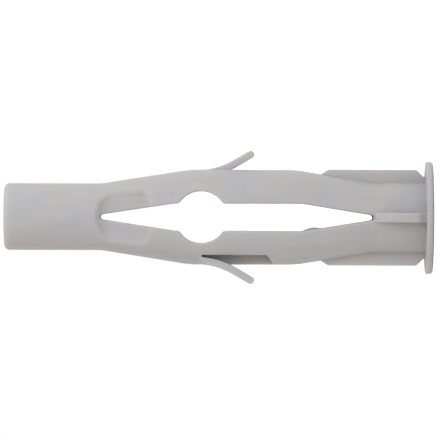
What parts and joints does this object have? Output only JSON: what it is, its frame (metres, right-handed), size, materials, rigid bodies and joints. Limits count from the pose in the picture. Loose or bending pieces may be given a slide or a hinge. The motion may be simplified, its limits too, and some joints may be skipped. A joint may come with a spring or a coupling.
{
  "type": "wall plug",
  "caption": "Nylon expansion plug with a thin round collar, two bowed legs with a round window between them, folding barbs, ribs and a bore for a wood screw.",
  "frame": {"origin": "centre of the collar's outer face, on which the plug stands", "axes": "+Z along the plug from the collar to the tip; the legs spread along X; the barb on the +X leg is on its +Y half"},
  "size_m": [0.016, 0.0136, 0.0513],
  "materials": {
    "nylon": "satin light grey nylon, as moulded"
  },
  "bodies": {
    "root": {"wall_plug": "nylon"}
  },
  "joints": []
}
